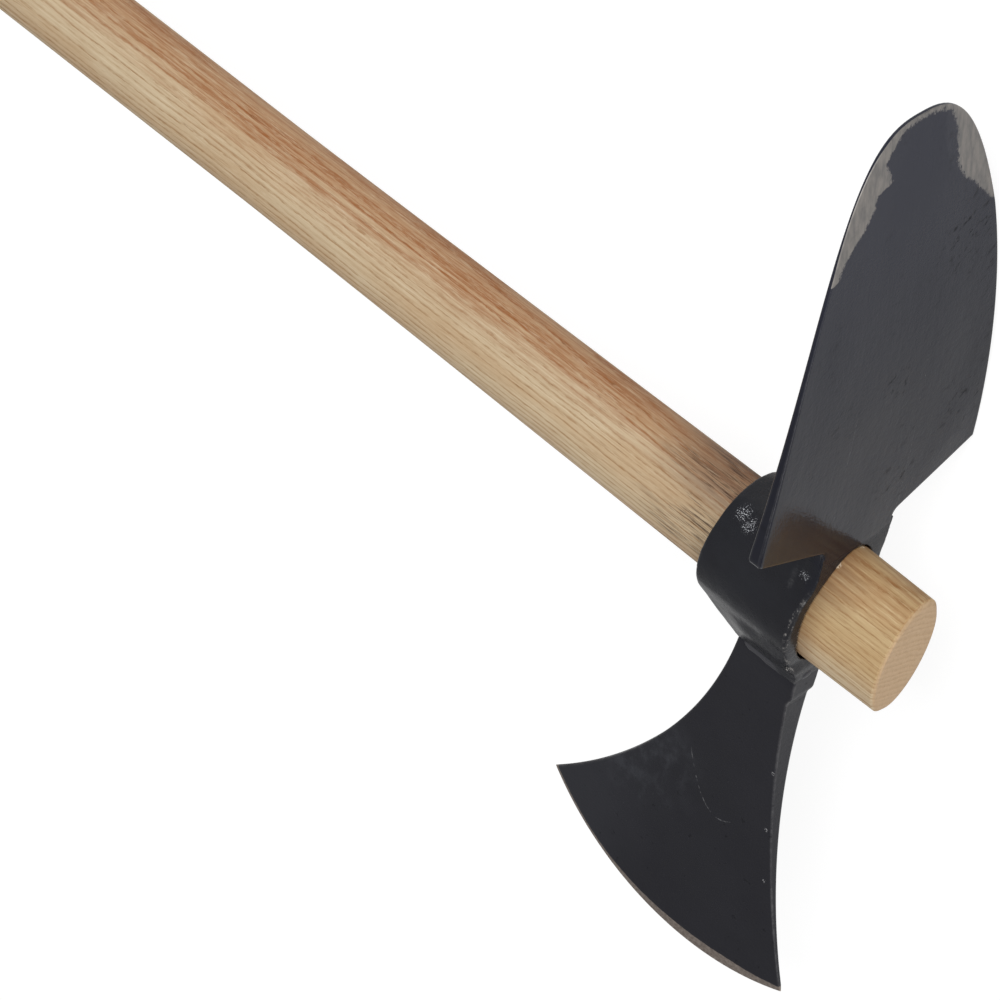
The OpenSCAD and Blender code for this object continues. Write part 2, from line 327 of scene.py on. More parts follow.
def turned_handle(finish):
    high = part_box("handle")[1]
    sizes = {
        "Length": 0.950, "Grip Radius": high.z, "Swell Start": 0.640,
        "Eye Rear": 0.8726, "Eye Front": 0.916,
        "Entry Half": 0.0209, "Head Half": high.y, "Sawn Half": 0.0256,
        "Sawn Slope": math.tan(math.radians(4)), "Butt Round": 0.005, "Sawn Round": 0.0009,
    }
    rows, sides = 280, 112
    cap = 0.05
    swell_curve = 1.12
    thinnest, uneven_share = 0.9955, 0.006
    tree, names, size = new_tree("turned_handle", sizes)
    grid = Value(tree).node("GeometryNodeMeshGrid", None,
                            {"Size X": 1.0, "Size Y": 1.0, "Vertices X": rows, "Vertices Y": sides + 1})
    down, round_share = grid.node("GeometryNodeInputPosition").parts()[:2]
    share = down + 0.5
    angle = (round_share + 0.5) * (2 * math.pi)
    radius = size["Grip Radius"]
    butt = (share / cap).clamped()
    sawn = ((1.0 - share) / cap).clamped()
    butt_in = ((butt * radius - radius + size["Butt Round"]) / size["Butt Round"]).most(0.0)
    sawn_in = ((sawn * radius - radius + size["Sawn Round"]) / size["Sawn Round"]).most(0.0)
    butt_x = size["Butt Round"] * (1.0 - (1.0 - butt_in * butt_in).most(0.0) ** 0.5)
    sawn_back = size["Sawn Round"] * (1.0 - (1.0 - sawn_in * sawn_in).most(0.0) ** 0.5)
    run = ((share - cap) / (1.0 - 2 * cap)).clamped()
    straight = size["Length"] - size["Butt Round"] - size["Sawn Round"]
    x = butt_x + run * straight + size["Sawn Round"] - sawn_back
    swell = ((x - size["Swell Start"]) / (size["Eye Rear"] - size["Swell Start"])).clamped() ** swell_curve
    seat = ((x - size["Eye Rear"]) / (size["Eye Front"] - size["Eye Rear"])).clamped()
    stub = ((x - size["Eye Front"]) / (size["Length"] - size["Eye Front"])).clamped()
    half_y = radius + swell * (size["Entry Half"] - radius)
    half_y = half_y + seat * (size["Head Half"] - size["Entry Half"])
    half_y = half_y - stub * (size["Head Half"] - size["Sawn Half"])
    hand = x.vector(x * 14.0, angle.math("COSINE", angle), angle.math("SINE", angle))
    wander = hand.node("ShaderNodeTexNoise", None, {"Vector": hand, "Scale": 1.0, "Detail": 1.0})
    uneven = thinnest + uneven_share * wander
    closing = butt.least(sawn) * uneven
    y = half_y * closing * angle.math("COSINE", angle)
    z = radius * closing * angle.math("SINE", angle)
    skin = grid.node("GeometryNodeSetPosition", None,
                     {"Geometry": grid, "Position": x.vector(x + stub * z * size["Sawn Slope"], y, z)})
    skin = skin.node("GeometryNodeMergeByDistance", None, {"Geometry": skin, "Distance": 2e-6})
    end_tree(tree, skin, finish)
    stick = grown("ash_handle", bpy.data.meshes.new("ash_handle"), tree, names, sizes, finish)
    return plain_mesh(stick, crease=40)


handle = turned_handle(ash_finish())
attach(handle, "handle")
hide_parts("handle")


# The eye: a short forged tube with an oval, tapered hole that jams on the swell of the wood.
# It is drawn out in front to the neck of the hoe and below to the root of the axe.
# The steel is hammered, then dipped in black lacquer that is chipped along the front rim.
def lacquer_finish(name, paints, streaks, grit, gloss, shine, marks=None,
                   bare=None, steels=None, steel_lines=None):
    """Black lacquer over forged steel, rubbed pale in places along its edges and painted a little paler
    along every edge as a painted highlight.
    Marks lists flaws, painted glints and painted shade, each a share, a colour, how deep it is sunk and
    whether it is dull, a dull mark being painted matt near-black as shade; bare gives the share of ground
    steel."""
    finish, place, shader = new_finish(name)
    worn_and_edge_highlight = colour(112, 111, 112)
    dent_shade_black = colour(22, 22, 25)
    edge = place.node("ShaderNodeAttribute", {"attribute_name": "edge"}, None, "Fac")
    cloud = place.noise((0.03, 0.03, 0.03), 3.0)
    drawn = place.noise(streaks, 4.0, 0.65, shift=5.0)
    grain = place.noise((0.9, 0.9, 0.9), 3.0, 0.6, shift=13.0)
    chip = place.noise((0.35, 0.35, 0.35), 4.0, 0.75, shift=23.0)
    paint = (cloud * 0.6 + drawn * 0.4).step(0.3, 0.7).mix(paints[0], paints[1])
    rubbed = edge * (chip * 0.7 + drawn * 0.5).step(0.48, 0.78)
    # Rubbed edges show pale metal, and every edge is also painted a little paler as a painted highlight.
    paint = (rubbed * 0.30 + edge * 0.12).clamped().mix(paint, worn_and_edge_highlight)
    rough = gloss + (drawn - 0.5) * 0.12 + (grain - 0.5) * 0.08
    relief = drawn * 0.55 + grain * grit
    matt = None
    for share, shade, sunk, dull in (marks(place, edge) if marks else []):
        paint = share.mix(paint, shade)
        relief = relief - share * sunk
        if dull:
            matt = share if matt is None else matt.most(share)
    set_plain(shader, IOR=1.5, Specular_IOR_Level=shine)
    if bare:
        lines = place.noise(steel_lines, 3.0, 0.6, shift=31.0)
        ground = bare(place)
        metal = lines.step(0.25, 0.75).mix(steels[0], steels[1])
        feed(shader, Base_Color=ground.mix(paint, metal), Metallic=ground * 0.75)
        feed(shader, Roughness=rough + ground * (0.46 + lines * 0.10 - rough))
        relief = relief * (1.0 - ground * 0.85) + lines * ground * 0.10
    else:
        feed(shader, Base_Color=paint, Roughness=rough)
    bump = relief.node("ShaderNodeBump", None, {"Strength": 0.30, "Distance": 0.0005, "Height": relief})
    feed(shader, Normal=bump)
    # Painted shade: dull marks, the dents, are painted matt near-black.
    if matt:
        dent_shade = bump.node("ShaderNodeBsdfDiffuse", None, {"Color": dent_shade_black, "Normal": bump})
        glossy = Value(finish.node_tree, shader.outputs[0])
        whole = dent_shade.node("ShaderNodeMixShader", None, {0: matt, 1: glossy, 2: dent_shade})
        surface = finish.node_tree.nodes["Material Output"].inputs["Surface"]
        finish.node_tree.links.new(whole.socket, surface)
    return finish


def set_share(mesh, name, values):
    layer = mesh.attributes.new(name, "FLOAT", "POINT")
    layer.data.foreach_set("value", np.asarray(values, np.float32))


def points_of(mesh, what="vertices"):
    flat = np.zeros(len(mesh.vertices) * 3)
    if what == "vertices":
        mesh.vertices.foreach_get("co", flat)
    else:
        mesh.vertices.foreach_get("normal", flat)
    return flat.reshape(-1, 3)


def convexity(mesh):
    """How far each corner of a mesh stands out from its neighbours, as a slope."""
    spots = points_of(mesh)
    normals = points_of(mesh, "normals")
    ends = np.zeros(len(mesh.edges) * 2, int)
    mesh.edges.foreach_get("vertices", ends)
    ends = ends.reshape(-1, 2)
    total = np.zeros(len(spots))
    count = np.zeros(len(spots))
    for one, two in ((0, 1), (1, 0)):
        step = spots[ends[:, two]] - spots[ends[:, one]]
        fall = -(step * normals[ends[:, one]]).sum(1) / np.maximum(np.linalg.norm(step, axis=1), 1e-9)
        np.add.at(total, ends[:, one], fall)
        np.add.at(count, ends[:, one], 1)
    return total / np.maximum(count, 1)


def hammered(spots, waves, depth, shift=0.0):
    """Uneven surface of forged steel: a height for each point, in the unit of depth."""
    return np.array([noise.noise(Vector(p * waves + shift)) for p in spots]) * depth


def eased(share):
    """A share from 0 to 1 that starts and ends softly."""
    share = np.clip(share, 0, 1)
    return share * share * (3 - 2 * share)


def forged_eye():
    voxel = 0.0006
    eye_front = 0.916
    pit, pit_deep, pit_wide = np.array([0.9127, -0.0290, 0.0114]), 0.0012, 0.0026
    hoe_bend, hoe_lead, hoe_foot = 720.0, 1.6, 32.0
    foot_out, foot_low, foot_lip = 0.0015, 0.0013, 0.002
    bore_half_y, bore_half_z = 26.7, 17.2
    neck_in, belly_out = 0.095, 0.0015

    def marks(place, edge):
        """Chips along the front rim, painted glints where the rough lacquer catches a lamp, and one pit
        painted dark as its shade, with painted glints beside it.
        """
        px, py, pz = place.parts()
        fleck = place.noise((0.5, 0.5, 0.5), 4.0, 0.8, shift=71.0)
        rim = px.step(912.0, 914.0) * py.step(16.0, 8.0) * pz.step(3.0, 9.0)
        chips = (edge * 3.0).clamped() * rim * fleck.step(0.50, 0.58) * py.step(-30.0, -28.0)
        # Painted glints: bright specks on the collar where the rough lacquer catches a lamp.
        glint_patch = spot(place, (880.0, 22.3, 15.4), 5.2).most(spot(place, (885.0, 22.2, 18.0), 5.0))
        glint_patch = glint_patch.most(spot(place, (912.6, 20.3, 20.0), 3.6))
        painted_glints = place.noise((2.6, 2.6, 2.6), 1.0, 0.5, shift=73.0) + glint_patch * 0.12
        painted_glints = painted_glints.step(0.71, 0.78) * glint_patch
        # Painted shade: the pit is painted near black. Painted glints: the torn specks beside it are
        # painted bright and share the colour of the rim chips.
        pit_shade = spot(place, tuple(pit * 1000), 2.0)
        torn = spot(place, tuple(pit * 1000 + (1.2, -1.4, -0.6)), 2.4)
        torn = torn * place.noise((1.3, 1.3, 1.3), 3.0, 0.7, shift=75.0).step(0.52, 0.60)
        beside_hoe = px.step(912.0, 915.0) * py.step(10.0, 20.0)
        return [(beside_hoe, colour(27, 28, 35), 0.0, False),
                (pit_shade, colour(9, 9, 10), 1.5, False),
                (chips.most(torn), colour(184, 180, 176), 0.4, False),
                (painted_glints * 0.95, colour(218, 220, 226), -0.7, False)]

    finish = lacquer_finish("eye_lacquer", (colour(30, 30, 34), colour(35, 36, 41)),
                            streaks=(0.10, 0.10, 0.10), grit=0.6, gloss=0.28, shine=0.20, marks=marks)
    eye = new_piece("forged_eye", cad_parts["eye_socket"].data.copy(), finish)
    body = bmesh.new()
    body.from_mesh(eye.data)
    bmesh.ops.remove_doubles(body, verts=body.verts, dist=1e-6)
    body.to_mesh(eye.data)
    body.free()
    eye.data.materials.clear()
    eye.data.materials.append(finish)
    remesh = eye.modifiers.new("skin", "REMESH")
    remesh.mode = "VOXEL"
    remesh.voxel_size = voxel
    smooth = eye.modifiers.new("worked", "SMOOTH")
    smooth.factor = 0.5
    smooth.iterations = 4
    plain_mesh(eye)
    mesh = eye.data
    spots = points_of(mesh)
    normals = points_of(mesh, "normals")
    edge = convexity(mesh)
    ahead = (spots[:, 0] - eye_front) * 1000
    height = spots[:, 1] * 1000
    facing = normals[:, 0] > 0.5
    outward = (normals[:, 1:] * spots[:, 1:]).sum(1) / np.linalg.norm(spots[:, 1:], axis=1)
    under_hoe = eased((height - 5) / 19) * facing
    uneven = hammered(spots, 90.0, 0.00022) + hammered(spots, 330.0, 0.00007, 4.0)
    uneven = uneven * (outward > 0) * (1 - under_hoe)
    dug = pit_deep * eased(1 - np.linalg.norm(spots - pit, axis=1) / pit_wide)
    spots = spots + normals * (uneven - dug)[:, None]
    face = hoe_lead - math.sqrt(hoe_bend ** 2 - hoe_foot ** 2) + np.sqrt(hoe_bend ** 2 - height ** 2)
    spots[:, 0] += under_hoe * (face - 0.02 - ahead) * 0.001
    spots[:, 0] += foot_out * eased((-24 - height) / 8) * (normals[:, 0] > 0.3)
    spots[:, 1] -= foot_low * eased((-15 - height) / 8) * eased((ahead + 12) / 10) * (outward < -0.5)
    spots[:, 1] -= foot_lip * eased((-33.6 - height) / 1.2) * eased((ahead + 12) / 6)
    aside = np.abs(spots[:, 2]) * 1000
    bore = bore_half_z * np.sqrt(np.maximum(1 - (height / bore_half_y) ** 2, 0))
    skin = eased((aside - bore - 0.6) / 3)
    narrow = eased((height - 6) / 10) * (1 - 0.7 * eased((height - 20) / 12)) * eased((ahead + 9) / 4)
    spots[:, 2] *= 1 - neck_in * narrow * skin
    belly = np.sin(math.pi * np.clip((-14 - height) / 21, 0, 1)) ** 2
    belly = belly * eased((ahead + 34) / 14) * eased((1.0 - ahead) / 9)
    spots[:, 2] += np.sign(spots[:, 2]) * belly_out * belly * skin
    mesh.vertices.foreach_set("co", spots.ravel())
    mesh.update()
    set_share(mesh, "edge", np.clip((edge - 0.05) / 0.20, 0, 1))
    return eye


eye = forged_eye()
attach(eye, "head")
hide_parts("eye_socket")


# The hoe: a tongue of steel plate, bent a little towards the user and drawn thin to its tip.
# Its square shoulders stand out beyond a short neck that is welded to the top of the eye.
# Both sides of the tip are ground bright on the front; the rest is black lacquer.
def skin_of(front, back, wall_shares=(0.06, 0.5, 0.94)):
    """A closed plate from two grids of points that share their outline, with loops round its wall."""
    rows, columns = front.shape[:2]
    half = rows * columns
    at = np.arange(half).reshape(rows, columns)
    near = [at[:-1, :-1], at[:-1, 1:], at[1:, 1:], at[1:, :-1]]
    faces = [np.stack([n.ravel() for n in near], 1)]
    faces.append(np.stack([n.ravel() + half for n in near[::-1]], 1))
    rim = np.concatenate([at[0, :-1], at[:-1, -1], at[-1, :0:-1], at[:0:-1, 0]])
    one, two = front.reshape(-1, 3), back.reshape(-1, 3)
    walls = [one[rim] + (two[rim] - one[rim]) * share for share in wall_shares]
    rings = [2 * half + len(rim) * k + np.arange(len(rim)) for k in range(len(walls))]
    rings = [rim] + rings + [rim + half]
    for upper, lower in zip(rings[:-1], rings[1:]):
        faces.append(np.stack([np.roll(upper, -1), upper, lower, np.roll(lower, -1)], 1))
    return np.concatenate([one, two] + walls), np.concatenate(faces)


def plate_piece(name, spots, faces, shares, finish, crease=None):
    """A piece from points in millimetres off the eye's front, with values for its two faces.
    The points of its wall take the third value of each share."""
    eye_front = 0.916
    mesh = bpy.data.meshes.new(name)
    mesh.from_pydata((spots * 0.001 + (eye_front, 0, 0)).tolist(), [], faces.tolist())
    for label, (front, back, wall) in shares.items():
        given = np.concatenate([front.ravel(), back.ravel()])
        set_share(mesh, label, np.concatenate([given, np.full(len(spots) - len(given), wall)]))
    return plain_mesh(new_piece(name, mesh, finish), crease)


def nearest(points, line):
    """Distance of each point to the nearest point of a closely spaced line."""
    found = np.empty(len(points))
    for start in range(0, len(points), 2000):
        some = points[start:start + 2000]
        found[start:start + 2000] = np.sqrt(((some[:, None] - line[None]) ** 2).sum(2)).min(1)
    return found


def rounded(distance, radius):
    """How far a surface drops at a distance from an edge that is rounded to a radius."""
    inside = np.clip(radius - distance, 0, radius)
    return radius - np.sqrt(np.maximum(radius ** 2 - inside ** 2, 0))


def hoe_blade():
    reach, shoulder_half, shoulder_y = 202.5, 59.1, 48.4
    neck_half, neck_y, root_y = 19.3, 34.2, 27.6
    corner_round = 2.8
    bend, lead, weld_y = 720.0, 1.6, 32.0
    root_thick, tip_thick, thinning = 7.0, 1.9, 2.8
    tongue_draw, tongue_blunt = 1.64, 2.70
    front_round, back_round = 1.4, 1.1
    tip_lean = -1.2
    soft_corner = 3.2
    left_bite = ((150, 157, 164, 172, 177, 182.0, 183.5, 187, 192, 199, 203),
                 (80, 41, 37, 28, 24, 22, 15.5, 16, 19, 12, 2))
    right_bite = ((148, 155, 165, 171, 176, 190, 203), (-80, -43, -32, -25, -21.5, -20, -14))
    rim_from, rim_width = 178.0, 1.3
    spacing = 0.86
    near_edge = [0, 0.12, 0.3, 0.55, 0.9, 1.4, 2.0]

    def tongue_half(y):
        u = np.clip((y - shoulder_y) / (reach - shoulder_y), 0, 1)
        return shoulder_half * (1 - u ** tongue_draw) ** (1 / tongue_blunt)

    shoulder = np.array([shoulder_half - neck_half, shoulder_y - neck_y])
    along = shoulder / np.linalg.norm(shoulder)
    half_angle = (math.pi / 2 + math.atan2(along[1], along[0])) / 2
    tangent = corner_round / math.tan(half_angle)
    arc_middle = np.array([neck_half + corner_round, neck_y - tangent])
    arc_end = neck_half + tangent * along[0]

    def lower_edge(z):
        on_arc = arc_middle[1] + np.sqrt(np.maximum(corner_round ** 2 - (z - arc_middle[0]) ** 2, 0))
        on_line = neck_y + (z - neck_half) * along[1] / along[0]
        return np.where(z < arc_end, on_arc, on_line)

    inner = np.concatenate([np.arange(0, neck_half - 2.1, spacing),
                            neck_half - np.array(near_edge[::-1])])
    outer = neck_half + 0.001 + np.array(near_edge)
    outer = np.concatenate([outer, np.arange(neck_half + 2.8, shoulder_half - 2.4, spacing),
                            shoulder_half - np.array(near_edge[::-1])])
    z_half = np.concatenate([inner, outer])
    y_half = np.concatenate([np.full(len(inner), root_y), lower_edge(outer)])
    z0 = np.concatenate([-z_half[:0:-1], z_half])
    y0 = np.concatenate([y_half[:0:-1], y_half])
    length = reach - shoulder_y
    steps = np.concatenate([near_edge, np.arange(2.8, length - 5.5, spacing),
                            length - np.array([4.4, 3.2, 2.2, 1.4, 0.9, 0.55, 0.3, 0.12, 0.03, 0])])
    share = (steps / length)[:, None]
    y = y0[None] + (reach - y0[None]) * share
    z = z0[None] / shoulder_half * tongue_half(y)
    corner = np.array([shoulder_half, shoulder_y])
    up = np.array([-0.03, 1.0])
    bisect = -along + up / np.linalg.norm(up)
    bisect /= np.linalg.norm(bisect)
    middle = corner + bisect * soft_corner / math.sin(math.acos(np.clip(-along @ up, -1, 1)) / 2)
    off = np.stack([z - middle[0], y - middle[1]], -1)
    away = np.linalg.norm(off, axis=-1)
    beyond = (away > soft_corner) & ((off @ -bisect) > away * 0.80) & (away < 8)
    pull = np.where(beyond, soft_corner / np.maximum(away, 1e-6), 1)
    z = middle[0] + off[..., 0] * pull
    y = middle[1] + off[..., 1] * pull
    outline_rows = [np.stack([z[0], y[0]], -1),
                    np.stack([z[:, 0], y[:, 0]], -1),
                    np.stack([z[:, -1], y[:, -1]], -1)]
    fine = []
    for row in outline_rows:
        gap = np.concatenate([[0], np.cumsum(np.linalg.norm(np.diff(row, axis=0), axis=1))])
        even = np.linspace(0, gap[-1], 1600)
        fine.append(np.stack([np.interp(even, gap, row[:, 0]), np.interp(even, gap, row[:, 1])], -1))
    outline = np.concatenate(fine)
    outline = outline[(outline[:, 1] > root_y + 0.4)]
    flat = np.stack([z.ravel(), y.ravel()], -1)
    edge_gap = nearest(flat, outline).reshape(z.shape)
    edge_gap[0, y0 > root_y + 1] = 0
    edge_gap[:, 0] = 0
    edge_gap[:, -1] = 0
    bend_x = lead - math.sqrt(bend ** 2 - weld_y ** 2)
    face = bend_x + np.sqrt(bend ** 2 - y ** 2)
    thick_share = np.clip((y - weld_y) / (reach - weld_y), 0, 1)
    thick = tip_thick + (root_thick - tip_thick) * (1 - thick_share) ** thinning
    drawn_out = np.stack([y, z, 0 * z], -1).reshape(-1, 3) * (0.6, 1.0, 1.0)
    uneven = hammered(drawn_out, 0.035, 0.35).reshape(z.shape)
    uneven = uneven * np.clip(edge_gap / 12, 0, 1)
    sunk = 0.05 * eased((30.2 - y) / 2.4)
    front = face + uneven - sunk
    grind_y = shoulder_y + length * 0.8
    lean = math.asin(grind_y / bend)
    for side, width in ((1, 7.0), (-1, 13.0)):
        turned = (Matrix.Rotation(lean, 3, "Z") @ Matrix.Rotation(math.radians(-38 * side), 3, "X")
                  @ Matrix.Rotation(math.radians(-4 * side), 3, "Y"))
        out = turned @ Vector((1, 0, 0))
        start_z = side * (float(tongue_half(np.array(grind_y))) - width)
        start_x = bend_x + math.sqrt(bend ** 2 - grind_y ** 2)
        front = np.minimum(front, start_x - (out.y * (y - grind_y) + out.z * (z - start_z)) / out.x)
    left_border = np.interp(y, left_bite[0], left_bite[1])
    right_border = np.interp(y, right_bite[0], right_bite[1])
    ground = np.maximum(z - left_border, right_border - z)
    ground = np.maximum(ground, np.where(y > rim_from, rim_width - edge_gap, -9))
    ground = np.clip(ground, -9, 9)
    back = face - thick + uneven * 0.5
    front_r = np.minimum(front_round, thick * 0.22)
    back_r = np.minimum(back_round, thick * 0.45)
    front = front - rounded(edge_gap, front_r)
    back = np.minimum(back + rounded(edge_gap, back_r), front - 0.05)
    z = z + tip_lean * np.clip((y - shoulder_y) / length, 0, 1) ** 2
    spots, faces = skin_of(np.stack([front, y, z], -1), np.stack([back, y, z], -1))
    edge = np.clip(1 - edge_gap / 0.6, 0, 1)
    # The edge share drives both the rubbed wear and the painted edge highlight; it is stronger on the
    # front face than on the back.
    shares = {"edge": (edge * 0.6, edge * 0.2, 0.0),
              "ground": (ground, np.full(ground.shape, -9.0), -9.0)}

    def bare(place):
        """Ground where the wheel took metal off, with a ragged border, and a thin rim at the tip."""
        cut = place.node("ShaderNodeAttribute", {"attribute_name": "ground"}, None, "Fac")
        ragged = place.noise((0.16, 0.16, 0.16), 4.0, 0.7, shift=41.0) - 0.5
        fine = place.noise((0.9, 0.55, 0.9), 3.0, 0.75, shift=43.0) - 0.5
        return (cut + ragged * 3.5 + fine * 5.0).step(-0.9, 0.9)

    def marks(place, edge):
        """Dents left by the hammer, painted dark and matt as their shade: short strokes, in clusters along
        the lower side. The face is painted paler towards the tip as a painted sheen.
        """
        py, pz = place.parts()[1:]
        cluster = place.noise((0.02, 0.026, 0.05), 2.0, 0.5, shift=61.0) + pz.step(0.0, -34.0) * 0.16
        cluster = cluster.step(0.50, 0.72) * 0.5
        for centre, radius in (((902.0, 147.0, -32.0), 19.0), ((915.0, 70.0, -45.0), 17.0),
                               ((911.6, 98.0, -2.0), 12.0), ((916.5, 51.0, -13.0), 15.0)):
            cluster = cluster.most(spot(place, centre, radius))
        slant = place.vector(py * 0.46 - pz * 0.89, py * 0.89 + pz * 0.46, 0.0)
        strokes = slant.noise((0.17, 0.30, 1.0), 4.0, 0.7, shift=67.0).step(0.53, 0.69)
        pocks = place.noise((0.55, 0.40, 0.55), 3.0, 0.7, shift=69.0).step(0.58, 0.72)
        # Painted sheen: the face is painted paler towards the tip.
        paler = py.step(70.0, 200.0) * 0.65
        pitted = place.noise((0.30, 0.20, 0.30), 3.0, 0.6, shift=81.0).step(0.42, 0.70)
        pitted = pitted * py.step(165.0, 110.0)
        return [(paler, colour(46, 48, 60), 0.0, False),
                (pitted * 0.5, colour(21, 22, 34), 0.25, False),
                # Painted shade: the dents are painted dark and matt.
                (cluster * strokes * 0.55, colour(18, 18, 21), 0.3, True),
                (cluster * pocks * 0.30, colour(12, 12, 14), 0.3, True)]

    finish = lacquer_finish("hoe_lacquer", (colour(21, 22, 31), colour(25, 26, 35)),
                            streaks=(0.09, 0.03, 0.12), grit=0.35, gloss=0.13, shine=0.245, marks=marks,
                            bare=bare, steels=(colour(118, 116, 115), colour(148, 143, 138)),
                            steel_lines=(0.5, 0.03, 0.5))
    return plate_piece("bent_hoe", spots, faces, shares, finish, crease=50)


hoe = hoe_blade()
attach(hoe, "head")
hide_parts("hoe_blade")


# The fillet weld that holds the back of the hoe to the top of the eye.
# It is one run of overlapping drops, laid across the eye and lacquered over with the head.
def laid_weld(name, path, sizes, seed, finish):
    """A run of weld metal along a path of points, as drops melted together."""
    tree, names, size = new_tree(name, sizes)
    source = tree.interface.new_socket(name="Path", in_out="INPUT", socket_type="NodeSocketGeometry")
    tree.interface.move(source, 0)
    entry = next(n for n in tree.nodes if n.type == "GROUP_INPUT")
    line = Value(tree, entry.outputs["Path"])
    drops = line.node("GeometryNodeMeshToCurve", None, {"Mesh": line})
    drops = drops.node("GeometryNodeCurveToPoints", {"mode": "LENGTH"},
                       {"Curve": drops, "Length": size["Pitch"]})
    low = 1.0 - size["Unevenness"]
    spread = low.node("FunctionNodeRandomValue", {"data_type": "FLOAT"},
                      {2: low, 3: 1.0 + size["Unevenness"], "Seed": seed}, 1)
    melt = drops.node("GeometryNodePointsToVolume", {"resolution_mode": "VOXEL_SIZE"},
                      {"Points": drops, "Density": 1.0, "Voxel Size": size["Voxel"],
                       "Radius": size["Drop Radius"] * spread})
    skin = melt.node("GeometryNodeVolumeToMesh", {"resolution_mode": "GRID"},
                     {"Volume": melt, "Threshold": 0.1, "Adaptivity": 0.0})
    end_tree(tree, skin, finish)
    mesh = bpy.data.meshes.new(name)
    mesh.from_pydata([tuple(p) for p in path], [(i, i + 1) for i in range(len(path) - 1)], [])
    piece = plain_mesh(grown(name, mesh, tree, names, sizes, finish))
    set_share(piece.data, "edge", np.zeros(len(piece.data.vertices)))
    return piece


# The welds' lacquer is painted paler than the head's as a painted sheen.
weld_sheen_finish = lacquer_finish("weld_lacquer_sheen", (colour(56, 56, 60), colour(64, 64, 68)),
                             streaks=(0.2, 0.2, 0.2), grit=0.6, gloss=0.34, shine=0.2)
low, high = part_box("hoe_weld")
weld_z = np.linspace(low.z + 0.003, high.z - 0.003, 24)
weld_x = 0.5 * (low.x + high.x) + 0.0006
fillet_path = [(weld_x, low.y + 0.0022, z) for z in weld_z]
fillet_sizes = {"Pitch": 0.0022, "Drop Radius": 0.0030, "Unevenness": 0.10, "Voxel": 0.0004}
hoe_weld = laid_weld("hoe_weld_run", fillet_path, fillet_sizes, seed=7, finish=weld_sheen_finish)
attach(hoe_weld, "head")
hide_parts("hoe_weld")


